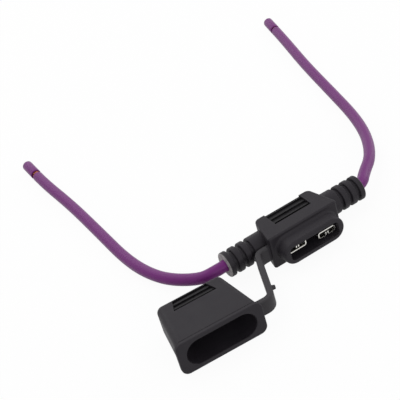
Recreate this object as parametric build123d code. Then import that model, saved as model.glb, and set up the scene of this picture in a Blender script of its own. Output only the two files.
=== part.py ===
"""Inline holder for one standard blade fuse, drawn with its cap swung open.

Units are millimetres and +Z is up. The origin is on the underside, straight below the axis of the
two strain reliefs, which runs along X. The fuse mouth faces -Y and the leads lie towards +Y.
"""
from build123d import *
import math
import os

# Standard blade fuse that the holder takes
BLADE_THICKNESS = 0.65

# Moulded body: a flat block, longest along the ridge above its mouth
BODY_HEIGHT = 13.2
BODY_BACK = 5.6
BODY_BACK_HALF = 12.0
RIDGE_FRONT = 8.2
RIDGE_HALF = 15.0
BODY_CORNER = 2.2
RIDGE_CORNER = 0.9
BODY_EDGE = 0.7

# Collar round the fuse mouth
COLLAR_REACH = 5.6
COLLAR_HALF_WIDTH = 12.8
COLLAR_STEP = 2.0
COLLAR_COVE = 1.1
COLLAR_LIP = 0.8
MOUTH_HALF_WIDTH = 10.4
MOUTH_HALF_HEIGHT = 2.75
MOUTH_CORNER = 1.4
MOUTH_DEPTH = 9.6

# Ribbed strain reliefs
RELIEF_REACH = 29.7
RELIEF_RADIUS = 4.8
RELIEF_GROOVES = 3
GROOVE_SETBACK = 2.8
GROOVE_PITCH = 3.65
GROOVE_WIDTH = 1.4
GROOVE_DEPTH = 1.1
RELIEF_EDGE = 0.4
RIM_CLOSE = 0.01

# Grip panels sunk in the top of the body and of the cap
GRIP_DEPTH = 1.2
GRIP_RIB_WIDTH = 0.8
GRIP_RIB_HEIGHT = 0.6
GRIP_RIB_FIRST = 0.75
BODY_GRIP_HALF = 7.8
BODY_GRIP_FRONT = 2.4
BODY_GRIP_RIBS = 3
CAP_GRIP_HALF = 8.2
CAP_GRIP_END_HALF = 5.8
CAP_GRIP_LENGTH = 6.4
CAP_GRIP_RIBS = 3

# Wire leads
LEAD_RADIUS = 2.25
CONDUCTOR_RADIUS = 1.2
CONDUCTOR_FIT = 0.05
LEAD_FIT = 0.02
LEAD_START = 13.4
CONDUCTOR_START = 6.4
SLEEVE_LENGTH = 4.8
STRIP_GAP = 1.0
BEND_SHARE = 0.45
CONDUCTOR_SHY = 0.3

# Flag terminals: a rolled receptacle for the blade, and two crimps on the lead
SHEET = 0.4
TERMINAL_CENTRE = 6.3
TERMINAL_WIDTH = 7.4
RECEPTACLE_LENGTH = 7.3
RECEPTACLE_SETBACK = 1.9
CURL_HEIGHT = 2.6
BASE_BEND = 0.72
SIDE_BEND = 0.9
TIP_BEND = 0.54
CURL_GAP = 0.5
NECK_WIDTH = 3.4
NECK_STEP = 1.0
CRIMP_FIT = 0.02
CORE_CRIMP_START = 6.6
CORE_CRIMP_LENGTH = 5.2
GRIP_CRIMP_LENGTH = 3.0
CRIMP_STRIP = 1.6
POCKET_FIT = 0.05

# Cap: a flattened cup that pushes over the collar
CAP_DEPTH = 23.0
CAP_HALF = 15.8
CAP_END_HALF = 12.6
CAP_CORNER = 2.4
CAP_END_EDGE = 1.8
CAP_FIT = 0.3
CAP_WALL_END = 1.9
CAP_CAVITY_END_HALF = 10.4
CAP_CAVITY_END_HALF_HEIGHT = 3.9
FLANGE_DEPTH = 1.4
FLANGE_STEP = 0.4
FLANGE_GROOVE_WIDTH = 0.6
FLANGE_GROOVE_DEPTH = 0.4
LIP_EDGE = 0.4

# How the cap swings and pushes on
CAP_TRAVEL = 5.5
SWING_ANGLE = 183.9
SWING_PIVOT = (-25.0, -24.1)

# Strap between the body and the cap
STRAP_THICKNESS = 2.2
STRAP_HEIGHT = 6.0
STRAP_ROOT_Y = -6.3
STRAP_ROOT_REACH = 15.6
STRAP_BEND_RUN = 3.6
STRAP_BEND_RADIUS = 3.0
STRAP_CURL_RUN = 5.6
STRAP_CURL_RADIUS = 3.4
STRAP_EDGE = 0.5
CAP_LUG_REACH = 16.6
CAP_LUG_BACK = 4.2
LUG_SINK = 2.6
NUB_SIZE = 1.4
NUB_HEIGHT = 1.8
NUB_FROM_CURL = 3.6

# Routes of the two leads, from inside the strain relief to the free end
LEFT_ROUTE = [
    (-LEAD_START, 0, BODY_HEIGHT / 2),
    (-35.4, 0, BODY_HEIGHT / 2),
    (-42.8, 3.8, 5.4),
    (-48.8, 13.2, 4.0),
    (-51.4, 25.0, 3.0),
    (-52.4, 39.0, 2.4),
    (-52.5, 58.0, 2.3),
    (-52.4, 86.0, 2.3),
    (-53.3, 112.0, 2.3),
    (-53.0, 133.6, 2.3),
]
RIGHT_ROUTE = [
    (LEAD_START, 0, BODY_HEIGHT / 2),
    (33.8, 0, BODY_HEIGHT / 2),
    (40.8, 7.4, 6.1),
    (47.0, 15.8, 5.3),
    (54.0, 27.2, 4.2),
    (60.8, 44.0, 3.0),
    (66.9, 67.7, 2.4),
    (74.0, 97.0, 2.3),
    (81.4, 124.4, 2.3),
    (87.9, 149.0, 2.3),
]

AXIS_HEIGHT = BODY_HEIGHT / 2
COLLAR_HALF_HEIGHT = BODY_HEIGHT / 2 - COLLAR_STEP
MOUTH_PLANE = RIDGE_FRONT + COLLAR_REACH
CAP_HEIGHT = BODY_HEIGHT - 2 * FLANGE_STEP


def facing_front(y):
    """A plane across Y whose local x and y are the part's X and Z, centred on the mouth's axis."""
    return Plane(origin=(0, y, AXIS_HEIGHT), x_dir=(1, 0, 0), z_dir=(0, -1, 0))


def on_axis(x):
    """A plane across X at the strain reliefs' axis."""
    return Plane(origin=(x, 0, AXIS_HEIGHT), z_dir=(1, 0, 0))


def grip_cut(outline, top, ribs):
    """Solid that sinks a grip panel into a top face, and leaves its ribs standing."""
    floor = top - GRIP_DEPTH
    panel = extrude(Plane.XY.offset(floor) * outline, 2 * GRIP_DEPTH)
    box = panel.bounding_box()
    pitch = box.size.Y / (ribs + 0.5)
    rib = Box(box.size.X, GRIP_RIB_WIDTH, 2 * GRIP_RIB_HEIGHT)
    for i in range(ribs):
        panel -= Pos(box.center().X, box.min.Y + (i + GRIP_RIB_FIRST) * pitch, floor) * rib
    return panel


def block():
    """The body's flat block, with rounded corners and edges."""
    outline = Polygon(
        (-RIDGE_HALF, -RIDGE_FRONT),
        (RIDGE_HALF, -RIDGE_FRONT),
        (BODY_BACK_HALF, BODY_BACK),
        (-BODY_BACK_HALF, BODY_BACK),
        align=None,
    )
    outline = fillet(outline.vertices().filter_by(lambda v: v.Y > 0), BODY_CORNER)
    outline = fillet(outline.vertices().filter_by(lambda v: v.Y < -BODY_CORNER), RIDGE_CORNER)
    solid = extrude(outline, BODY_HEIGHT)
    rims = solid.faces().sort_by(Axis.Z)
    return fillet(rims[0].edges() + rims[-1].edges(), BODY_EDGE)


def collar():
    """The stadium collar that stands out round the mouth, as deep as the block's middle."""
    outline = SlotOverall(2 * COLLAR_HALF_WIDTH, 2 * COLLAR_HALF_HEIGHT)
    solid = extrude(facing_front(0) * outline, MOUTH_PLANE)
    lip = solid.faces().sort_by(Axis.Y)[0]
    return fillet(lip.edges(), COLLAR_LIP)


def relief(side):
    """One ribbed strain relief; side is -1 or 1."""
    solid = extrude(on_axis(0) * Circle(RELIEF_RADIUS), side * RELIEF_REACH)
    for i in range(RELIEF_GROOVES):
        x = side * (RELIEF_REACH - GROOVE_SETBACK - i * GROOVE_PITCH)
        ring = Circle(RELIEF_RADIUS + 1) - Circle(RELIEF_RADIUS - GROOVE_DEPTH)
        solid -= extrude(on_axis(x) * ring, GROOVE_WIDTH / 2, both=True)
    rims = [e for e in solid.edges() if abs(e.length - 2 * math.pi * RELIEF_RADIUS) < RIM_CLOSE]
    outer = [e for e in rims if abs((e @ 0).X) > BODY_BACK_HALF]
    return fillet(outer, RELIEF_EDGE)


def lies_at_y(edge, y):
    """Whether an edge lies in the plane across Y at that place."""
    return all(abs((edge @ t).Y - y) < 0.001 for t in (0, 0.5, 1))


def near_axis(edge):
    """Whether an edge lies within the collar's outline."""
    point = edge @ 0.5
    wide = abs(point.X) < COLLAR_HALF_WIDTH + 0.01
    return wide and abs(point.Z - AXIS_HEIGHT) < COLLAR_HALF_HEIGHT + 0.01


def strap_section():
    """The strap's section: its height across, its thickness up."""
    return RectangleRounded(STRAP_HEIGHT, STRAP_THICKNESS, STRAP_EDGE)


def stub(start, length):
    """A stub of the strap's section on a moulding's side, from a plan point towards -X."""
    plane = Plane(origin=(*start, AXIS_HEIGHT), x_dir=(0, 0, 1), z_dir=(-1, 0, 0))
    return extrude(plane * strap_section(), length)


def holder_body():
    """The moulding: block, collar and strain reliefs, with the mouth and the terminals' pockets."""
    solid = block() + collar()
    seam = [e for e in solid.edges() if lies_at_y(e, -RIDGE_FRONT) and near_axis(e)]
    solid = fillet(seam, COLLAR_COVE)
    solid += relief(-1) + relief(1)
    solid += stub((-BODY_BACK_HALF, STRAP_ROOT_Y), STRAP_ROOT_REACH - BODY_BACK_HALF)
    mouth = RectangleRounded(2 * MOUTH_HALF_WIDTH, 2 * MOUTH_HALF_HEIGHT, MOUTH_CORNER)
    solid -= extrude(facing_front(-MOUTH_PLANE) * mouth, -MOUTH_DEPTH)
    pocket = pocket_left()
    solid = solid - pocket - turned_over(pocket)
    grip_back = BODY_BACK + 1
    grip_length = grip_back + BODY_GRIP_FRONT
    middle = (grip_back - BODY_GRIP_FRONT) / 2
    grip = Pos(0, middle) * Rectangle(2 * BODY_GRIP_HALF, grip_length)
    return solid - grip_cut(grip, BODY_HEIGHT, BODY_GRIP_RIBS)


BARREL_INNER = CONDUCTOR_RADIUS + CRIMP_FIT
BARREL_OUTER = BARREL_INNER + SHEET
GRIP_INNER = LEAD_RADIUS + CRIMP_FIT
GRIP_OUTER = GRIP_INNER + SHEET
BASE_OFFSET = -(BLADE_THICKNESS + SHEET) / 2
NECK_DROP = -(BARREL_INNER + SHEET / 2)
GRIP_DROP = -(GRIP_INNER + SHEET / 2)
RECEPTACLE_FRONT = -MOUTH_PLANE + RECEPTACLE_SETBACK
RECEPTACLE_BACK = RECEPTACLE_FRONT + RECEPTACLE_LENGTH
CORE_CRIMP_END = CORE_CRIMP_START + CORE_CRIMP_LENGTH
GRIP_CRIMP_END = LEAD_START + GRIP_CRIMP_LENGTH


def rolled(points, radii=None):
    """Face of a strip of sheet metal that follows the points, with its bends rounded."""
    path = FilletPolyline(*points, radius=radii) if radii else Polyline(*points)
    return make_face(Wire(path.edges()).offset_2d(SHEET / 2, side=Side.BOTH))


def receptacle_profile():
    """Section of the receptacle: a flat base whose two edges curl over towards the middle."""
    half = (TERMINAL_WIDTH - SHEET) / 2
    top = CURL_HEIGHT - SHEET
    tip = CURL_GAP / 2 + SHEET / 2
    low = BLADE_THICKNESS + SHEET
    points = [(0, 0), (half, 0), (half, top), (tip, top), (tip, low)]
    right = rolled(points, [BASE_BEND, SIDE_BEND, TIP_BEND])
    return right + mirror(right, about=Plane.YZ)


def terminal_left():
    """Flag terminal with its base below: the receptacle faces -Y and its lead leaves along -X."""
    profile = Pos(-TERMINAL_CENTRE, BASE_OFFSET) * receptacle_profile()
    solid = extrude(facing_front(RECEPTACLE_FRONT) * profile, -RECEPTACLE_LENGTH)
    step_start = RECEPTACLE_BACK + NECK_STEP / 2
    neck = rolled(
        [
            (RECEPTACLE_BACK - NECK_STEP, AXIS_HEIGHT + BASE_OFFSET),
            (step_start, AXIS_HEIGHT + BASE_OFFSET),
            (step_start + NECK_STEP, AXIS_HEIGHT + NECK_DROP),
            (0, AXIS_HEIGHT + NECK_DROP),
        ]
    )
    solid += extrude(Plane.YZ.offset(-CORE_CRIMP_START) * neck, -NECK_WIDTH)
    core = Circle(BARREL_OUTER) - Circle(BARREL_INNER)
    solid += extrude(on_axis(-CORE_CRIMP_START) * core, -CORE_CRIMP_LENGTH)
    grip = Circle(GRIP_OUTER) - Circle(GRIP_INNER)
    solid += extrude(on_axis(-LEAD_START) * grip, -GRIP_CRIMP_LENGTH)
    strip = rolled(
        [
            (-CORE_CRIMP_END + SHEET, NECK_DROP),
            (-CORE_CRIMP_END, NECK_DROP),
            (-LEAD_START + SHEET / 2, GRIP_DROP),
            (-LEAD_START - SHEET, GRIP_DROP),
        ]
    )
    strip = extrude(facing_front(0) * strip, CRIMP_STRIP / 2, both=True)
    return solid + (strip & extrude(on_axis(0) * Circle(GRIP_OUTER), -GRIP_CRIMP_END))


def pocket_left():
    """Space in the moulding for the left terminal and its lead."""
    solid = extrude(on_axis(0) * Circle(LEAD_RADIUS + LEAD_FIT), -RELIEF_REACH - 1)
    room = Circle(GRIP_OUTER + POCKET_FIT)
    start = CONDUCTOR_START - POCKET_FIT
    length = GRIP_CRIMP_END + POCKET_FIT - start
    solid = solid - Pos(-start / 2, 0, AXIS_HEIGHT) * Box(start, 2 * BODY_HEIGHT, 2 * BODY_HEIGHT)
    solid += extrude(on_axis(-start) * room, -length)
    low = AXIS_HEIGHT + NECK_DROP - SHEET / 2 - POCKET_FIT
    high = AXIS_HEIGHT + BASE_OFFSET + SHEET / 2 + POCKET_FIT
    back = MOUTH_PLANE - MOUTH_DEPTH
    slot = Box(NECK_WIDTH + 2 * POCKET_FIT, back, high - low)
    return solid + Pos(-CORE_CRIMP_START - NECK_WIDTH / 2, -back / 2, (low + high) / 2) * slot


def turned_over(shape):
    """The left-hand shape turned half a turn about the mouth's axis, which makes the right-hand one."""
    return shape.rotate(Axis((0, 0, AXIS_HEIGHT), (0, 1, 0)), 180)


CLOSED_PLANE = RIDGE_FRONT + COLLAR_COVE + CAP_FIT
ENGAGED = MOUTH_PLANE - CLOSED_PLANE + CAP_FIT
STRAP_END_CLOSED = (-CAP_LUG_REACH, -CLOSED_PLANE - CAP_LUG_BACK)


def swung_open(shape):
    """A shape of the closed cap, drawn off the collar and swung back to where the cap lies open."""
    drawn = Pos(0, -CAP_TRAVEL, 0) * shape
    return drawn.rotate(Axis((*SWING_PIVOT, 0), (0, 0, 1)), -SWING_ANGLE)


def cap_closed():
    """The cap where it sits when it is pushed home over the collar."""
    mouth = facing_front(-CLOSED_PLANE)
    end = facing_front(-CLOSED_PLANE - CAP_DEPTH)
    solid = loft(
        [
            mouth * RectangleRounded(2 * CAP_HALF, CAP_HEIGHT, CAP_CORNER),
            end * RectangleRounded(2 * CAP_END_HALF, CAP_HEIGHT, CAP_CORNER),
        ]
    )
    solid = fillet(solid.faces().sort_by(Axis.Y)[0].edges(), CAP_END_EDGE)
    flange = RectangleRounded(
        2 * (CAP_HALF + FLANGE_STEP), CAP_HEIGHT + 2 * FLANGE_STEP, CAP_CORNER + FLANGE_STEP
    )
    solid += extrude(mouth * flange, FLANGE_DEPTH)
    groove = offset(flange, 1) - offset(flange, -FLANGE_STEP - FLANGE_GROOVE_DEPTH)
    behind = facing_front(-CLOSED_PLANE - FLANGE_DEPTH)
    solid -= extrude(behind * groove, FLANGE_GROOVE_WIDTH)
    reach = CAP_LUG_REACH - CAP_HALF + LUG_SINK
    solid += stub((reach - CAP_LUG_REACH, -CLOSED_PLANE - CAP_LUG_BACK), reach)
    wide = SlotOverall(
        2 * (COLLAR_HALF_WIDTH + CAP_FIT), 2 * (COLLAR_HALF_HEIGHT + CAP_FIT)
    )
    narrow = SlotOverall(2 * CAP_CAVITY_END_HALF, 2 * CAP_CAVITY_END_HALF_HEIGHT)
    cavity = extrude(mouth * wide, ENGAGED)
    cavity += loft(
        [
            facing_front(-CLOSED_PLANE - ENGAGED) * wide,
            facing_front(-CLOSED_PLANE - CAP_DEPTH + CAP_WALL_END) * narrow,
        ]
    )
    solid -= cavity
    lip = solid.faces().sort_by(Axis.Y)[-1]
    solid = fillet(lip.edges(), LIP_EDGE)
    far = -CLOSED_PLANE - CAP_DEPTH - 1
    near = -CLOSED_PLANE - CAP_DEPTH + CAP_GRIP_LENGTH
    grip = Polygon(
        (-CAP_GRIP_END_HALF, far),
        (CAP_GRIP_END_HALF, far),
        (CAP_GRIP_HALF, near),
        (-CAP_GRIP_HALF, near),
        align=None,
    )
    return solid - grip_cut(grip, AXIS_HEIGHT + CAP_HEIGHT / 2, CAP_GRIP_RIBS)


def strap_points():
    """Plan of the strap's middle line where the cap lies open, from the body's stub to the cap's."""
    end = swung_open(Vertex(*STRAP_END_CLOSED, AXIS_HEIGHT))
    curl = swung_open(
        Vertex(STRAP_END_CLOSED[0] - STRAP_CURL_RUN, STRAP_END_CLOSED[1], AXIS_HEIGHT)
    )
    root = Vector(-STRAP_ROOT_REACH, STRAP_ROOT_Y, AXIS_HEIGHT)
    bend = root - Vector(STRAP_BEND_RUN, 0, 0)
    return [root, bend, curl.center(), end.center()]


def strap():
    """The flexible strap, standing on edge, with the small nub on its outer side."""
    points = strap_points()
    path = FilletPolyline(*points, radius=[STRAP_BEND_RADIUS, STRAP_CURL_RADIUS])
    start = Plane(origin=path @ 0, x_dir=(0, 0, 1), z_dir=path % 0)
    solid = sweep(start * strap_section(), path)
    arm = (points[1] - points[2]).normalized()
    outward = arm.cross(Vector(0, 0, 1))
    place = points[2] + arm * NUB_FROM_CURL + outward * (STRAP_THICKNESS / 2)
    high = AXIS_HEIGHT + (STRAP_HEIGHT - NUB_HEIGHT) / 2 - STRAP_EDGE
    nub = Plane(origin=(place.X, place.Y, high), x_dir=arm, z_dir=(0, 0, 1))
    return solid + nub * Box(NUB_SIZE, 2 * NUB_SIZE, NUB_HEIGHT)


def corner_radii(points):
    """Radius at each corner of a route: as large as its two runs allow."""
    radii = []
    for before, here, after in zip(points, points[1:], points[2:]):
        first = Vector(here) - Vector(before)
        second = Vector(after) - Vector(here)
        half_turn = math.radians(first.get_angle(second)) / 2
        radii.append(BEND_SHARE * min(first.length, second.length) / math.tan(half_turn))
    return radii


def stopped_short(points, distance):
    """The route with its last point moved back by a distance."""
    last, before = Vector(points[-1]), Vector(points[-2])
    return points[:-1] + [last - (last - before).normalized() * distance]


def along(points, section):
    """A section swept along a route."""
    path = FilletPolyline(*points, radius=corner_radii(points))
    return sweep(Plane(origin=path @ 0, z_dir=path % 0) * section, path)


def tube():
    """Section of the insulation."""
    return Circle(LEAD_RADIUS) - Circle(CONDUCTOR_RADIUS + CONDUCTOR_FIT)


def insulation(route):
    """The lead's insulation, up to the cut where the copper shows."""
    return along(stopped_short(route, SLEEVE_LENGTH + STRIP_GAP), tube())


def conductor(route):
    """The copper core, from the crimp to the free end."""
    side = 1 if route[0][0] > 0 else -1
    start = (side * CONDUCTOR_START, *route[0][1:])
    core = [start] + stopped_short(route, CONDUCTOR_SHY)[1:]
    return along(core, Circle(CONDUCTOR_RADIUS))


def end_sleeve(route):
    """The slug of insulation left on the lead's free end."""
    tip, before = Vector(route[-1]), Vector(route[-2])
    way = (tip - before).normalized()
    start = Plane(origin=tip - way * SLEEVE_LENGTH, z_dir=way)
    return extrude(start * tube(), SLEEVE_LENGTH)


def build():
    """Every piece, by the name of its file."""
    left = terminal_left()
    return {
        "holder_body": holder_body(),
        "terminal_left": left,
        "terminal_right": turned_over(left),
        "cap": swung_open(cap_closed()),
        "strap": strap(),
        "insulation_left": insulation(LEFT_ROUTE),
        "insulation_right": insulation(RIGHT_ROUTE),
        "conductor_left": conductor(LEFT_ROUTE),
        "conductor_right": conductor(RIGHT_ROUTE),
        "end_sleeve_left": end_sleeve(LEFT_ROUTE),
        "end_sleeve_right": end_sleeve(RIGHT_ROUTE),
    }


os.makedirs("parts", exist_ok=True)
for name, piece in build().items():
    export_step(piece, f"parts/{name}.step")
for name, route in (("left", LEFT_ROUTE), ("right", RIGHT_ROUTE)):
    print(name, "lead radii", [round(r, 1) for r in corner_radii(route)])
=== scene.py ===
"""Dresses the inline fuse holder: leads, lead ends, strap, finishes, camera and light."""

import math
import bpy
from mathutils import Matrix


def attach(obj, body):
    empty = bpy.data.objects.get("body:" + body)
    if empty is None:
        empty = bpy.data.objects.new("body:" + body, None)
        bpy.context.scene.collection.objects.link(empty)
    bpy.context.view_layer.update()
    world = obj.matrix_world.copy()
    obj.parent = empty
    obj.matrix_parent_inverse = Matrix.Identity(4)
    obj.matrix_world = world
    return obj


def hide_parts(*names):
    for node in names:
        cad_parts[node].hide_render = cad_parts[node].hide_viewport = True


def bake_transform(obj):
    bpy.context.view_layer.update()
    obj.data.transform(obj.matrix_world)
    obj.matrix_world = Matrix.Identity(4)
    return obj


bl_info = {
    "name": "Inline Fuse Holder",
    "version": (1, 0, 0),
    "blender": (4, 5, 0),
    "location": "View3D > Sidebar > Fuse Holder",
    "description": "Leads, cap strap, copper ends and finishes for an inline blade fuse holder",
    "category": "Object",
}

import bmesh
import bpy
from mathutils import Matrix, Vector

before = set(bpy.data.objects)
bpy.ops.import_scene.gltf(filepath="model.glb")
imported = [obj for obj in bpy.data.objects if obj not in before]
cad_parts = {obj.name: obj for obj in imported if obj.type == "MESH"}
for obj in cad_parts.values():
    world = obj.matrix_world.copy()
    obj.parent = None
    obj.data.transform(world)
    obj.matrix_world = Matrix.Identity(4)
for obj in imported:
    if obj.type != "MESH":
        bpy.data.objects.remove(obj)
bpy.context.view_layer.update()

MM = 0.001
UP = Vector((0, 0, 1))

# The strain reliefs' axis and ends, in millimetres; the mould's halves meet at the axis
AXIS_HEIGHT = 6.6
RELIEF_REACH = 29.7

# Where the leads run, from within the strain relief to the free end, in millimetres
LEAD_ROUTES = {
    "left": [
        (-26.0, 0, 6.6),
        (-34.9, -0.2, 6.6),
        (-39.9, 2.0, 5.4),
        (-47.3, 12.2, 4.0),
        (-50.9, 24.7, 3.0),
        (-52.2, 39.2, 2.4),
        (-51.9, 58.5, 2.3),
        (-51.7, 86.7, 2.3),
        (-52.9, 112.2, 2.3),
        (-52.5, 132.9, 2.3),
    ],
    "right": [
        (26.0, 0, 6.6),
        (31.6, 0.1, 6.6),
        (37.0, 5.8, 6.1),
        (45.7, 13.1, 5.3),
        (54.4, 26.5, 4.2),
        (61.5, 44.2, 3.0),
        (67.5, 67.8, 2.4),
        (74.5, 97.3, 2.3),
        (82.0, 124.0, 2.3),
        (88.0, 147.6, 2.3),
    ],
}
LEAD_CURVE_STEPS = 24
LEAD_ROUND_STEPS = 7

# Strands of each core by layer, the length of one turn, and where the bundle starts and stops
STRAND_LAYERS = (1, 6, 12)
STRAND_LAY = 24 * MM
STRAND_SIDES = 10
STRAND_STEPS = 14
CORE_TUCK = 2.5 * MM
CORE_SHY = 0.3 * MM

# End slugs: play round the strands, and the round of the cut edges
SLUG_PLAY = 0.05 * MM
SLUG_ROUND = 0.35 * MM
SLUG_ROUND_STEPS = 5
SLUG_SIDES = 48

# Grip panels sunk in the two mouldings, darkened with painted shade: centre, half sizes and turn,
# in millimetres and degrees
BODY_GRIP = ((0, 2.0, 12.5), (8.0, 4.6, 0.6), 0)
CAP_GRIP = ((-49.2, -11.52, 12.1), (8.4, 3.4, 0.6), -183.9)

# Plan of the strap's middle line, from the body's stub to the cap's, in millimetres
STRAP_PLAN = [(-15.6, -6.3), (-19.6, -6.3), (-28.5, -28.68), (-33.71, -28.32)]
STRAP_RADII = [3.2, 3.8]
STRAP_STEP = 0.3
STRAP_EDGE = 0.5 * MM
STRAP_EDGE_STEPS = 4

# Share of the way down the strap's arm at which it is split into the arm and the curl
STRAP_SPLIT = 0.884

# Stub of the mould's gate, at a distance up the arm and a height in millimetres
NUB_FROM_CURL = 5.1
NUB_HEIGHT = 8.2
# Its radius and reach from root to tip, as shares of its own
NUB_OUTLINE = ((1.25, 0.0), (1.05, 0.12), (1.0, 0.3), (0.92, 0.8), (0.8, 0.94), (0.5, 1.0))
NUB_SINK = 0.3 * MM
# Share of the reach in which the sunk root comes out of the strap
NUB_ROOT = 1 / 8
NUB_SIDES = 20

# Edges between faces that turn by more than this stay sharp
SHARP_ANGLE = math.radians(50)
# Points nearer than this are joined
WELD = 0.001 * MM

# The moulding's real grain is about 0.05 mm, too fine to show, so it is drawn coarser
GRAIN_SIZE = 0.35 * MM
# Clouding from handling
CLOUD_SIZE = 6 * MM
# Line where the mould's halves meet, and its height as a multiple of the grain's
SEAM_WIDTH = 0.15 * MM
SEAM_RISE = 1.5
# How far back from the strain relief's end its painted highlight starts and is full, and the
# highlight's mottling
HIGHLIGHT_START = 0.25 * MM
HIGHLIGHT_FULL = 0.01 * MM
MOTTLE_SIZE = 1 * MM
# Painted shade of a grip panel, for the shade between its ribs, and the share of its half size over
# which that shade ends
GRIP_SHADE = 0.35
GRIP_RIM = 0.04

# Unevenness of the insulation's wall
WAVE_LENGTH = 3 * MM
# Rolling marks of the terminals' strip, drawn out along it
MARK_SPACING = 0.2 * MM
MARK_STRETCH = (1, 0.1, 1)
# Patches of tarnish on the copper
TARNISH_SIZE = 0.8 * MM

# Camera that gives the photograph's view
CAMERA_TARGET = Vector((-11.9, 50.01, 0.31)) * MM
CAMERA_DISTANCE = 438.4 * MM
CAMERA_TILT = math.radians(34.2)
CAMERA_TURN = math.radians(-21.5)
CAMERA_ROLL = math.radians(-17.0)
CAMERA_LENS = 100.0
CAMERA_SENSOR = 36.0
CAMERA_CLIP = 0.01

# Lamps, with their place in metres and power in watts
LAMP_SIZE = 0.6
LAMP_TARGET = Vector((0, 0.03, 0))
LAMPS = {
    "key": ((-0.2, 0.35, 0.75), 1.8),
    "right_fill": ((0.8, 0.1, 0.3), 1.5),
    "front_fill": ((0.0, -0.8, 0.3), 1.5),
    "back_fill": ((0.0, 0.85, 0.35), 0.7),
}

# Strength of the sky as light and where it is seen, and the same for the paper's tone
SKY_LIGHT = 0.58
SKY_SEEN = 1.0
PAPER_LIGHT = 0.4
PAPER_SEEN = 0.95
# Share of the paper's look that is its own glow, so that only a faint shadow shows on it
PAPER_GLOW = 0.94
PAPER_HALF = 3.0


def linear(code):
    """The linear colour of an sRGB hex code."""
    def straight(value):
        return value / 12.92 if value <= 0.04045 else ((value + 0.055) / 1.055) ** 2.4

    return tuple(straight(int(code[i : i + 2], 16) / 255) for i in (1, 3, 5))


class HolderColours(bpy.types.PropertyGroup):
    """Colours of the holder's materials."""
    moulding: bpy.props.FloatVectorProperty(
        name="Moulding", description="Soft black moulding of the body and the cap",
        default=linear("#272429"), subtype="COLOR", min=0, max=1,
    )
    # Painted highlight: a pale colour for the strong light that the strain reliefs' end faces catch
    painted_highlight: bpy.props.FloatVectorProperty(
        name="Painted highlight", description="Pale bloom on the end faces of the strain reliefs",
        default=linear("#B4B2B0"), subtype="COLOR", min=0, max=1,
    )
    # Painted sheen: the strap is the same moulding as the body, given a paler colour for the shine
    # its satin sides show at a grazing angle
    strap: bpy.props.FloatVectorProperty(
        name="Strap", description="The strap, a little paler than the body from being bent",
        default=linear("#383639"), subtype="COLOR", min=0, max=1,
    )
    insulation: bpy.props.FloatVectorProperty(
        name="Insulation", description="Insulation of the leads",
        default=linear("#6F2472"), subtype="COLOR", min=0, max=1,
    )
    tin: bpy.props.FloatVectorProperty(
        name="Tin", description="Plating of the receptacles",
        default=linear("#E4E2DC"), subtype="COLOR", min=0, max=1,
    )
    copper: bpy.props.FloatVectorProperty(
        name="Copper", description="Bare strands at the leads' ends",
        default=linear("#AC644A"), subtype="COLOR", min=0, max=1,
    )


class HolderSizes(bpy.types.PropertyGroup):
    """Sizes of the pieces that are modelled here."""
    lead_diameter: bpy.props.FloatProperty(
        name="Lead diameter", description="Across the insulation",
        default=4.5 * MM, min=1 * MM, max=10 * MM, unit="LENGTH",
    )
    core_diameter: bpy.props.FloatProperty(
        name="Core diameter", description="Across the bundle of strands",
        default=3.5 * MM, min=0.5 * MM, max=6 * MM, unit="LENGTH",
    )
    sleeve_length: bpy.props.FloatProperty(
        name="End slug", description="Length of the insulation slug on each free end",
        default=10.2 * MM, min=1 * MM, max=20 * MM, unit="LENGTH",
    )
    cut_left: bpy.props.FloatProperty(
        name="Left cut", description="Width of the cut where the left lead's copper shows",
        default=2.3 * MM, min=0.2 * MM, max=5 * MM, unit="LENGTH",
    )
    cut_right: bpy.props.FloatProperty(
        name="Right cut", description="Width of the cut where the right lead's copper shows",
        default=1.3 * MM, min=0.2 * MM, max=5 * MM, unit="LENGTH",
    )
    strap_height: bpy.props.FloatProperty(
        name="Strap height", description="Height of the strap, which stands on edge",
        default=6.0 * MM, min=2 * MM, max=10 * MM, unit="LENGTH",
    )
    strap_thickness: bpy.props.FloatProperty(
        name="Strap thickness", description="Thickness of the strap",
        default=2.2 * MM, min=0.5 * MM, max=4 * MM, unit="LENGTH",
    )
    nub_radius: bpy.props.FloatProperty(
        name="Nub radius", description="Radius of the gate's stub on the strap, at its root",
        default=0.85 * MM, min=0.2 * MM, max=2 * MM, unit="LENGTH",
    )
    nub_reach: bpy.props.FloatProperty(
        name="Nub reach", description="How far the gate's stub stands out from the strap",
        default=1.2 * MM, min=0.2 * MM, max=4 * MM, unit="LENGTH",
    )


def add(tree, kind, settings=None, inputs=None):
    """Adds a node with its settings; an input is a value, or the socket that feeds it."""
    node = tree.nodes.new(kind)
    for name, value in (settings or {}).items():
        setattr(node, name, value)
    for socket, value in (inputs or {}).items():
        if isinstance(value, bpy.types.NodeSocket):
            tree.links.new(value, node.inputs[socket])
        else:
            node.inputs[socket].default_value = value
    return node


def new_material(name):
    """An empty node material, with its tree."""
    material = bpy.data.materials.new(name)
    material.use_nodes = True
    material.node_tree.nodes.clear()
    return material, material.node_tree


def finish_surface(tree, shader):
    """Sends a shader to the material's surface."""
    add(tree, "ShaderNodeOutputMaterial", inputs={"Surface": shader})


def place(tree):
    """The point on the piece, in metres."""
    return add(tree, "ShaderNodeTexCoord").outputs["Object"]


def tint(tree, colour, darker, lighter, pattern):
    """The colour, from its darker to its lighter shade as the pattern goes from 0 to 1."""
    mix = add(
        tree, "ShaderNodeMix", {"data_type": "RGBA"},
        {
            "Factor": pattern,
            "A": (*(c * darker for c in colour), 1),
            "B": (*(min(1, c * lighter) for c in colour), 1),
        },
    )
    return mix.outputs["Result"]


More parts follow.
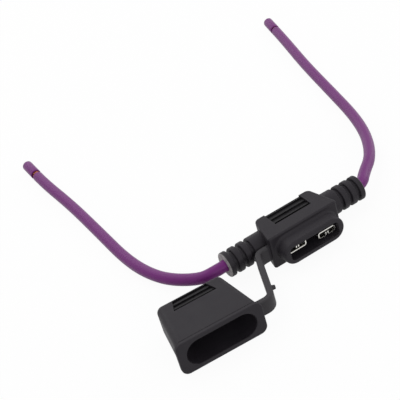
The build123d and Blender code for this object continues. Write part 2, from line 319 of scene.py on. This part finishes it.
def panel_share(tree, point, panel):
    """1 within a sunk panel, and 0 from its rim outwards."""
    centre, half, turn = panel
    within = add(
        tree, "ShaderNodeMapping", {"vector_type": "TEXTURE"},
        {
            "Vector": point,
            "Location": [c * MM for c in centre],
            "Rotation": (0, 0, math.radians(turn)),
            "Scale": [h * MM for h in half],
        },
    )
    size = add(
        tree, "ShaderNodeVectorMath", {"operation": "ABSOLUTE"}, {0: within.outputs["Vector"]}
    )
    axes = add(tree, "ShaderNodeSeparateXYZ", inputs={"Vector": size.outputs["Vector"]})
    wide = add(
        tree, "ShaderNodeMath", {"operation": "MAXIMUM"},
        {0: axes.outputs["X"], 1: axes.outputs["Y"]},
    )
    widest = add(
        tree, "ShaderNodeMath", {"operation": "MAXIMUM"},
        {0: wide.outputs["Value"], 1: axes.outputs["Z"]},
    )
    share = add(
        tree, "ShaderNodeMapRange", {"interpolation_type": "SMOOTHSTEP"},
        {
            "Value": widest.outputs["Value"],
            "From Min": 1 - GRIP_RIM, "From Max": 1.0, "To Min": 1.0, "To Max": 0.0,
        },
    )
    return share.outputs["Result"]


def grain_and_seam(tree, point, axes):
    """Bump of the mould's grain, and of the line where its two halves meet."""
    grain = add(
        tree, "ShaderNodeTexNoise", inputs={"Vector": point, "Scale": 1 / GRAIN_SIZE, "Detail": 3.0}
    )
    above = add(
        tree, "ShaderNodeMath", {"operation": "SUBTRACT"},
        {0: axes.outputs["Z"], 1: AXIS_HEIGHT * MM},
    )
    off = add(tree, "ShaderNodeMath", {"operation": "ABSOLUTE"}, {0: above.outputs["Value"]})
    seam = add(
        tree, "ShaderNodeMapRange", {"interpolation_type": "SMOOTHSTEP"},
        {
            "Value": off.outputs["Value"],
            "From Min": 0.0, "From Max": SEAM_WIDTH, "To Min": 1.0, "To Max": 0.0,
        },
    )
    relief = add(
        tree, "ShaderNodeMath", {"operation": "MULTIPLY_ADD"},
        {0: seam.outputs["Result"], 1: SEAM_RISE, 2: grain.outputs["Fac"]},
    )
    bump = add(
        tree, "ShaderNodeBump",
        inputs={"Height": relief.outputs["Value"], "Strength": 0.25, "Distance": 0.05 * MM},
    )
    return bump.outputs["Normal"]


def with_painted_grip_shade(tree, point, base, colour, panel):
    """The base colour, darkened within a grip panel by painted shade, which stands in for the shade
    between its ribs.
    """
    grip_shaded = add(
        tree, "ShaderNodeMix", {"data_type": "RGBA"},
        {
            "Factor": panel_share(tree, point, panel),
            "A": base,
            "B": (*(c * GRIP_SHADE for c in colour), 1),
        },
    )
    return grip_shaded.outputs["Result"]


def with_painted_highlight(tree, point, axes, base, painted_highlight):
    """The base colour, under a mottled painted highlight on the strain reliefs' end faces, for the
    strong light they catch.
    """
    out = add(tree, "ShaderNodeMath", {"operation": "ABSOLUTE"}, {0: axes.outputs["X"]})
    end = add(
        tree, "ShaderNodeMapRange", {"interpolation_type": "SMOOTHSTEP"},
        {
            "Value": out.outputs["Value"],
            "From Min": RELIEF_REACH * MM - HIGHLIGHT_START,
            "From Max": RELIEF_REACH * MM - HIGHLIGHT_FULL,
        },
    )
    mottle = add(
        tree, "ShaderNodeTexNoise",
        inputs={"Vector": point, "Scale": 1 / MOTTLE_SIZE, "Detail": 3.0},
    )
    cover = add(
        tree, "ShaderNodeMapRange",
        inputs={
            "Value": mottle.outputs["Fac"],
            "From Min": 0.3, "From Max": 0.6, "To Min": 0.55, "To Max": 1.0,
        },
    )
    share = add(
        tree, "ShaderNodeMath", {"operation": "MULTIPLY"},
        {0: end.outputs["Result"], 1: cover.outputs["Result"]},
    )
    highlighted = add(
        tree, "ShaderNodeMix", {"data_type": "RGBA"},
        {"Factor": share.outputs["Value"], "A": base, "B": (*painted_highlight, 1)},
    )
    return highlighted.outputs["Result"]


def moulded_elastomer(name, colour, shaded_grip=None, painted_highlight=None):
    """Thermoplastic elastomer, injection moulded in spark-eroded steel: dark, satin, grained.

    A shaded grip is a sunk panel darkened by painted shade, for the shade between its ribs. A
    painted highlight colour whitens the strain reliefs' end faces, for the strong light they catch.
    """
    material, tree = new_material(name)
    point = place(tree)
    axes = add(tree, "ShaderNodeSeparateXYZ", inputs={"Vector": point})
    cloud = add(
        tree, "ShaderNodeTexNoise", inputs={"Vector": point, "Scale": 1 / CLOUD_SIZE, "Detail": 4.0}
    )
    rough = add(
        tree, "ShaderNodeMapRange",
        inputs={
            "Value": cloud.outputs["Fac"],
            "From Min": 0.3, "From Max": 0.7, "To Min": 0.48, "To Max": 0.6,
        },
    )
    base = tint(tree, colour, 0.85, 1.15, cloud.outputs["Fac"])
    # Painted shade: the grip panel is darkened for the shade between its ribs
    if shaded_grip:
        base = with_painted_grip_shade(tree, point, base, colour, shaded_grip)
    # Painted highlight: the strain reliefs' end faces are paled for the strong light they catch
    if painted_highlight:
        base = with_painted_highlight(tree, point, axes, base, painted_highlight)
    shader = add(
        tree, "ShaderNodeBsdfPrincipled",
        inputs={
            "Base Color": base,
            "Roughness": rough.outputs["Result"],
            "IOR": 1.5,
            "Specular IOR Level": 0.2,
            "Normal": grain_and_seam(tree, point, axes),
        },
    )
    finish_surface(tree, shader.outputs["BSDF"])
    return material


def extruded_vinyl(colour):
    """Vinyl wire insulation, extruded: softly shining, a little uneven, chalky at the edges."""
    material, tree = new_material("vinyl_insulation_extruded")
    wave = add(
        tree, "ShaderNodeTexNoise",
        inputs={"Vector": place(tree), "Scale": 1 / WAVE_LENGTH, "Detail": 2.0},
    )
    bump = add(
        tree, "ShaderNodeBump",
        inputs={"Height": wave.outputs["Fac"], "Strength": 0.15, "Distance": 0.1 * MM},
    )
    shader = add(
        tree, "ShaderNodeBsdfPrincipled",
        inputs={
            "Base Color": tint(tree, colour, 0.92, 1.08, wave.outputs["Fac"]),
            "Roughness": 0.42,
            "IOR": 1.53,
            "Specular IOR Level": 0.2,
            "Sheen Weight": 0.15,
            "Sheen Roughness": 0.4,
            "Normal": bump.outputs["Normal"],
        },
    )
    finish_surface(tree, shader.outputs["BSDF"])
    return material


def plated_tin(colour):
    """Brass strip with bright electroplated tin: a pale mirror with faint rolling marks."""
    material, tree = new_material("tin_electroplated_on_brass")
    stretch = add(
        tree, "ShaderNodeMapping", inputs={"Vector": place(tree), "Scale": MARK_STRETCH}
    )
    marks = add(
        tree, "ShaderNodeTexNoise",
        inputs={"Vector": stretch.outputs["Vector"], "Scale": 1 / MARK_SPACING, "Detail": 2.0},
    )
    rough = add(
        tree, "ShaderNodeMapRange",
        inputs={"Value": marks.outputs["Fac"], "To Min": 0.18, "To Max": 0.34},
    )
    shader = add(
        tree, "ShaderNodeBsdfPrincipled",
        inputs={
            "Base Color": (*colour, 1),
            "Metallic": 1.0,
            "Roughness": rough.outputs["Result"],
        },
    )
    finish_surface(tree, shader.outputs["BSDF"])
    return material


def drawn_copper(colour):
    """Annealed copper, drawn into strands: warm, and dulled by a little tarnish."""
    material, tree = new_material("copper_drawn_strands")
    tarnish = add(
        tree, "ShaderNodeTexNoise",
        inputs={"Vector": place(tree), "Scale": 1 / TARNISH_SIZE, "Detail": 3.0},
    )
    shader = add(
        tree, "ShaderNodeBsdfPrincipled",
        inputs={
            "Base Color": tint(tree, colour, 0.65, 1.05, tarnish.outputs["Fac"]),
            "Metallic": 1.0,
            "Roughness": 0.38,
        },
    )
    finish_surface(tree, shader.outputs["BSDF"])
    return material


def seen_rays(tree):
    """1 for the rays that show the background: the camera's, reflected and refracted ones."""
    rays = add(tree, "ShaderNodeLightPath")
    direct = add(
        tree, "ShaderNodeMath", {"operation": "MAXIMUM"},
        {0: rays.outputs["Is Camera Ray"], 1: rays.outputs["Is Glossy Ray"]},
    )
    both = add(
        tree, "ShaderNodeMath", {"operation": "MAXIMUM"},
        {0: direct.outputs["Value"], 1: rays.outputs["Is Transmission Ray"]},
    )
    return both.outputs["Value"]


def white_sweep():
    """Matt paper sweep: white where it is seen, with the object's faint shadow on it."""
    material, tree = new_material("paper_sweep_matt")
    seen = seen_rays(tree)
    tone = add(
        tree, "ShaderNodeMapRange",
        inputs={"Value": seen, "To Min": PAPER_LIGHT, "To Max": PAPER_SEEN},
    )
    paper = add(tree, "ShaderNodeBsdfDiffuse", inputs={"Color": tone.outputs["Result"]})
    share = add(tree, "ShaderNodeMath", {"operation": "MULTIPLY"}, {0: seen, 1: PAPER_GLOW})
    glow = add(tree, "ShaderNodeEmission", inputs={"Color": (1, 1, 1, 1), "Strength": 1.0})
    mix = add(
        tree, "ShaderNodeMixShader",
        inputs={0: share.outputs["Value"], 1: paper.outputs["BSDF"], 2: glow.outputs["Emission"]},
    )
    finish_surface(tree, mix.outputs["Shader"])
    return material


def new_object(name, data):
    """Links a new object to the scene's collection."""
    item = bpy.data.objects.new(name, data)
    bpy.context.scene.collection.objects.link(item)
    return item


def paint(item, material):
    """Gives an object its one material."""
    item.data.materials.clear()
    item.data.materials.append(material)


def mesh_from(name, fill, material):
    """A smooth-shaded mesh object made by the fill function, with sharp edges kept sharp."""
    shape = bmesh.new()
    fill(shape)
    bmesh.ops.recalc_face_normals(shape, faces=shape.faces)
    for face in shape.faces:
        face.smooth = True
    for edge in shape.edges:
        edge.smooth = not edge.is_manifold or edge.calc_face_angle(0) < SHARP_ANGLE
    mesh = bpy.data.meshes.new(name)
    shape.to_mesh(mesh)
    shape.free()
    item = new_object(name, mesh)
    paint(item, material)
    return item


def free_end(side):
    """The tip of a lead, the way it points, and two directions across it."""
    before, tip = (Vector(p) * MM for p in LEAD_ROUTES[side][-2:])
    way = (tip - before).normalized()
    across = way.cross(UP).normalized()
    return tip, way, across, across.cross(way)


def cut_width(side, sizes):
    """Width of the cut in one lead's insulation."""
    return sizes.cut_left if side == "left" else sizes.cut_right


def lead(side, sizes, material):
    """One lead's insulation: a smooth curve through its route, up to the cut."""
    tip, way, _, _ = free_end(side)
    points = [Vector(p) * MM for p in LEAD_ROUTES[side][:-1]]
    points.append(tip - way * (sizes.sleeve_length + cut_width(side, sizes)))
    curve = bpy.data.curves.new(f"lead_{side}", "CURVE")
    curve.dimensions = "3D"
    curve.bevel_depth = sizes.lead_diameter / 2
    curve.bevel_resolution = LEAD_ROUND_STEPS
    curve.resolution_u = LEAD_CURVE_STEPS
    curve.use_fill_caps = True
    spline = curve.splines.new("NURBS")
    spline.points.add(len(points) - 1)
    for control, point in zip(spline.points, points):
        control.co = (*point, 1)
    spline.order_u = 3
    spline.use_endpoint_u = True
    item = new_object(f"lead_{side}", curve)
    paint(item, material)
    return item


def ring_of_points(centre, across, up, radius, count):
    """Points of a circle."""
    turns = (2 * math.pi * i / count for i in range(count))
    return [centre + (across * math.cos(t) + up * math.sin(t)) * radius for t in turns]


def skin(shape, rings, closed_ends=True):
    """Faces between rings of points, and across the two ends where they are closed."""
    loops = [[shape.verts.new(p) for p in ring] for ring in rings]
    for first, second in zip(loops, loops[1:]):
        for i in range(len(first)):
            j = (i + 1) % len(first)
            shape.faces.new((first[i], first[j], second[j], second[i]))
    if closed_ends:
        shape.faces.new(loops[0])
        shape.faces.new(loops[-1])


def strand_rings(start, directions, length, radius, offset, phase):
    """Rings along one strand, which winds round the core's middle at an offset from it."""
    way, across, up = directions
    rings = []
    for step in range(STRAND_STEPS + 1):
        along = length * step / STRAND_STEPS
        turn = 2 * math.pi * (phase + along / STRAND_LAY)
        out = across * math.cos(turn) + up * math.sin(turn)
        centre = start + way * along + out * offset
        rings.append(ring_of_points(centre, across, up, radius, STRAND_SIDES))
    return rings


def strands(side, sizes, material):
    """The twisted copper strands, from within the insulation to the face of the end slug."""
    tip, *directions = free_end(side)
    length = CORE_TUCK + cut_width(side, sizes) + sizes.sleeve_length - CORE_SHY
    start = tip - directions[0] * (length + CORE_SHY)
    radius = sizes.core_diameter / 2 / (2 * len(STRAND_LAYERS) - 1)

    def fill(shape):
        for layer, count in enumerate(STRAND_LAYERS):
            offset = 2 * radius * layer
            for k in range(count):
                skin(shape, strand_rings(start, directions, length, radius, offset, k / count))

    return mesh_from(f"strands_{side}", fill, material)


def end_slug(side, sizes, material):
    """The slug of insulation left on a free end, with its cut edges a little rounded."""
    tip, way, across, up = free_end(side)
    outer, inner = sizes.lead_diameter / 2, sizes.core_diameter / 2 + SLUG_PLAY
    turns = [math.pi / 2 * i / SLUG_ROUND_STEPS for i in range(SLUG_ROUND_STEPS + 1)]
    edge = [
        (outer - SLUG_ROUND * (1 - math.sin(t)), SLUG_ROUND * (1 - math.cos(t))) for t in turns
    ]
    far_edge = [(radius, sizes.sleeve_length - along) for radius, along in reversed(edge)]
    outline = [(inner, 0), *edge, *far_edge, (inner, sizes.sleeve_length)]

    def fill(shape):
        rings = []
        for radius, along in outline:
            centre = tip - way * (sizes.sleeve_length - along)
            rings.append(ring_of_points(centre, across, up, radius, SLUG_SIDES))
        skin(shape, rings + [rings[0]], closed_ends=False)
        bmesh.ops.remove_doubles(shape, verts=shape.verts, dist=WELD)

    return mesh_from(f"end_slug_{side}", fill, material)


def straight_places(start, stop):
    """Places and directions along a straight run of the strap's plan, without its last."""
    way = (stop - start).normalized()
    count = max(1, round((stop - start).length / STRAP_STEP))
    return [(start.lerp(stop, i / count), way) for i in range(count)]


def arc_places(begin, come, radius, turn):
    """Places and directions along a rounded corner of the strap's plan, without its last."""
    side = 1 if turn < 0 else -1
    middle = begin + Vector((-come.y, come.x)) * side * radius
    count = max(2, round(abs(turn) * radius / STRAP_STEP))
    spins = (Matrix.Rotation(-turn * i / count, 2) for i in range(count))
    return [(middle + spin @ (begin - middle), spin @ come) for spin in spins]


def strap_places():
    """Places and directions along the strap's plan, whose corners are rounded."""
    points = [Vector(p) for p in STRAP_PLAN]
    places = []
    start = points[0]
    for before, here, after, radius in zip(points, points[1:], points[2:], STRAP_RADII):
        come, go = (here - before).normalized(), (after - here).normalized()
        turn = come.angle_signed(go)
        cut = radius * math.tan(abs(turn) / 2)
        begin = here - come * cut
        places += straight_places(start, begin) + arc_places(begin, come, radius, turn)
        start = here + go * cut
    places += straight_places(start, points[-1])
    places.append((points[-1], (points[-1] - start).normalized()))
    return places


def strap_section(centre, way, sizes):
    """Rounded rectangle across the strap."""
    out = Vector((way.y, -way.x, 0))
    half_out = sizes.strap_thickness / 2 - STRAP_EDGE
    half_up = sizes.strap_height / 2 - STRAP_EDGE
    points = []
    for quarter, (side, end) in enumerate(((1, 1), (-1, 1), (-1, -1), (1, -1))):
        for i in range(STRAP_EDGE_STEPS + 1):
            turn = math.pi / 2 * (quarter + i / STRAP_EDGE_STEPS)
            across = side * half_out + STRAP_EDGE * math.cos(turn)
            rise = end * half_up + STRAP_EDGE * math.sin(turn)
            points.append(centre + out * across + UP * rise)
    return points


def strap_rings(places, sizes):
    """Sections across the strap at each place."""
    return [
        strap_section(Vector((p.x, p.y, AXIS_HEIGHT)) * MM, way, sizes) for p, way in places
    ]


def nub_rings(sizes):
    """Rings of the stub where the mould's gate was, on the outer side of the strap's arm."""
    bend, curl = (Vector(p) for p in STRAP_PLAN[1:3])
    arm = (bend - curl).normalized()
    foot = (curl + arm * NUB_FROM_CURL) * MM
    out, along = Vector((arm.y, -arm.x, 0)), arm.to_3d()
    root = Vector((foot.x, foot.y, NUB_HEIGHT * MM))
    root += out * (sizes.strap_thickness / 2 - NUB_SINK)
    rings = []
    for radius, reach in NUB_OUTLINE:
        centre = root + out * (NUB_SINK * min(1, reach / NUB_ROOT) + sizes.nub_reach * reach)
        rings.append(ring_of_points(centre, along, UP, sizes.nub_radius * radius, NUB_SIDES))
    return rings


def strap_part(name, sets_of_rings, material):
    """One stretch of the strap, with what stands on it."""
    def fill(shape):
        for rings in sets_of_rings:
            skin(shape, rings)

    return mesh_from(name, fill, material)


def photo_camera():
    """The camera, placed and turned as in the photograph."""
    tilt, turn, roll = CAMERA_TILT, CAMERA_TURN, CAMERA_ROLL
    level = Vector((math.cos(turn), math.sin(turn), 0))
    flat = math.cos(tilt)
    back = Vector((math.sin(turn) * flat, -math.cos(turn) * flat, math.sin(tilt)))
    rise = back.cross(level)
    right = level * math.cos(roll) + rise * math.sin(roll)
    up = rise * math.cos(roll) - level * math.sin(roll)
    data = bpy.data.cameras.new("camera")
    data.lens = CAMERA_LENS
    data.sensor_width = CAMERA_SENSOR
    data.clip_start = CAMERA_CLIP
    camera = new_object("camera", data)
    turned = Matrix((right, up, back)).transposed().to_4x4()
    camera.matrix_world = Matrix.Translation(CAMERA_TARGET + back * CAMERA_DISTANCE) @ turned
    return camera


def paper_sheet():
    """The large sheet of paper that the holder lies on."""
    def fill(shape):
        corners = ((-1, -1), (1, -1), (1, 1), (-1, 1))
        shape.faces.new([shape.verts.new((x * PAPER_HALF, y * PAPER_HALF, 0)) for x, y in corners])

    return mesh_from("sweep", fill, white_sweep())


def hang_lamp(name, location, power):
    """A soft square lamp that faces the object."""
    data = bpy.data.lights.new(name, "AREA")
    data.size = LAMP_SIZE
    data.energy = power
    lamp = new_object(name, data)
    lamp.location = location
    ray = LAMP_TARGET - lamp.location
    lamp.rotation_euler = ray.to_track_quat("-Z", "Y").to_euler()


def studio_sky():
    """An even white sky, weaker as light than where it is seen."""
    world = bpy.data.worlds.new("studio")
    world.use_nodes = True
    tree = world.node_tree
    tree.nodes.clear()
    strength = add(
        tree, "ShaderNodeMapRange",
        inputs={"Value": seen_rays(tree), "To Min": SKY_LIGHT, "To Max": SKY_SEEN},
    )
    sky = add(
        tree, "ShaderNodeBackground",
        inputs={"Color": (1, 1, 1, 1), "Strength": strength.outputs["Result"]},
    )
    add(tree, "ShaderNodeOutputWorld", inputs={"Surface": sky.outputs["Background"]})
    return world


class FUSEHOLDER_OT_stage(bpy.types.Operator):
    """Camera, white sweep and soft light"""
    bl_idname = "fuse_holder.stage"
    bl_label = "Stage"

    def execute(self, context):
        """Builds the stage."""
        context.scene.camera = photo_camera()
        context.scene.view_settings.view_transform = "Standard"
        floor = paper_sheet()
        for name, (location, power) in LAMPS.items():
            hang_lamp(name, location, power)
        context.scene.world = studio_sky()
        return {"FINISHED"}


class FUSEHOLDER_OT_leads(bpy.types.Operator):
    """The two leads, with the copper that shows at their cut ends"""
    bl_idname = "fuse_holder.leads"
    bl_label = "Leads"

    def execute(self, context):
        """Builds the leads and their ends."""
        colours, sizes = context.scene.holder_colours, context.scene.holder_sizes
        vinyl = extruded_vinyl(colours.insulation)
        copper = drawn_copper(colours.copper)
        for side in LEAD_ROUTES:
            wire = lead(side, sizes, vinyl)
            core = strands(side, sizes, copper)
            slug = end_slug(side, sizes, vinyl)
            for item, node, slot in (
                (wire, "insulation", "lead_insulation"),
                (core, "conductor", "copper_core"),
                (slug, "end_sleeve", "lead_insulation"),
            ):
                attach(item, "holder")
                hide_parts(f"{node}_{side}")
        return {"FINISHED"}


class FUSEHOLDER_OT_strap(bpy.types.Operator):
    """The strap that ties the cap to the body"""
    bl_idname = "fuse_holder.strap"
    bl_label = "Strap"

    def execute(self, context):
        """Builds the strap's two stretches."""
        colours, sizes = context.scene.holder_colours, context.scene.holder_sizes
        # The strap's paler colour is painted sheen, for the shine of its satin sides at a grazing
        # angle
        rubber = moulded_elastomer("thermoplastic_elastomer_strap", colours.strap)
        places = strap_places()
        top, foot, stub = (Vector(p) for p in STRAP_PLAN[1:])
        down = foot - top
        split = STRAP_SPLIT * down.length_squared
        cut = next(i for i, (p, _) in enumerate(places) if (p - top).dot(down) >= split)
        arm_rings = strap_rings(places[: cut + 1], sizes)
        curl_rings = strap_rings(places[cut:], sizes)
        arm = strap_part("strap_arm", [arm_rings, nub_rings(sizes)], rubber)
        curl = strap_part("strap_curl", [curl_rings], rubber)
        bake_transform(arm)
        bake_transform(curl)
        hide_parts("strap")
        return {"FINISHED"}


class FUSEHOLDER_OT_mouldings(bpy.types.Operator):
    """Finish of the body and the cap"""
    bl_idname = "fuse_holder.mouldings"
    bl_label = "Mouldings"

    def execute(self, context):
        """Gives the two mouldings their finish."""
        colours = context.scene.holder_colours
        # The body gets painted shade in its grip panel and a painted highlight on its end faces;
        # the cap gets painted shade in its grip panel
        body = moulded_elastomer(
            "thermoplastic_elastomer_body", colours.moulding, shaded_grip=BODY_GRIP, painted_highlight=colours.painted_highlight
        )
        cap = moulded_elastomer("thermoplastic_elastomer_cap", colours.moulding, shaded_grip=CAP_GRIP)
        paint(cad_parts["holder_body"], body)
        paint(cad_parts["cap"], cap)
        return {"FINISHED"}


class FUSEHOLDER_OT_terminals(bpy.types.Operator):
    """Finish of the two receptacles"""
    bl_idname = "fuse_holder.terminals"
    bl_label = "Terminals"

    def execute(self, context):
        """Plates the terminals."""
        tin = plated_tin(context.scene.holder_colours.tin)
        for side in ("left", "right"):
            paint(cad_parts[f"terminal_{side}"], tin)
        return {"FINISHED"}


STEPS = (
    FUSEHOLDER_OT_stage,
    FUSEHOLDER_OT_leads,
    FUSEHOLDER_OT_strap,
    FUSEHOLDER_OT_mouldings,
    FUSEHOLDER_OT_terminals,
)


class FUSEHOLDER_PT_panel(bpy.types.Panel):
    """Lists the holder's colours, sizes and building steps"""
    bl_idname = "FUSEHOLDER_PT_panel"
    bl_label = "Fuse Holder"
    bl_space_type = "VIEW_3D"
    bl_region_type = "UI"
    bl_category = "Fuse Holder"

    def draw(self, context):
        """Draws the panel."""
        for group in (context.scene.holder_colours, context.scene.holder_sizes):
            for name in type(group).__annotations__:
                self.layout.prop(group, name)
        for step in STEPS:
            self.layout.operator(step.bl_idname)


CLASSES = (HolderColours, HolderSizes, *STEPS, FUSEHOLDER_PT_panel)


def register():
    """Adds the classes and the scene's properties."""
    for kind in CLASSES:
        bpy.utils.register_class(kind)
    bpy.types.Scene.holder_colours = bpy.props.PointerProperty(type=HolderColours)
    bpy.types.Scene.holder_sizes = bpy.props.PointerProperty(type=HolderSizes)


def unregister():
    """Takes away what register added."""
    del bpy.types.Scene.holder_sizes
    del bpy.types.Scene.holder_colours
    for kind in reversed(CLASSES):
        bpy.utils.unregister_class(kind)


def main():
    """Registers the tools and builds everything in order."""
    register()
    for step in STEPS:
        group, action = step.bl_idname.split(".")
        getattr(getattr(bpy.ops, group), action)()


if __name__ == "__main__":
    main()
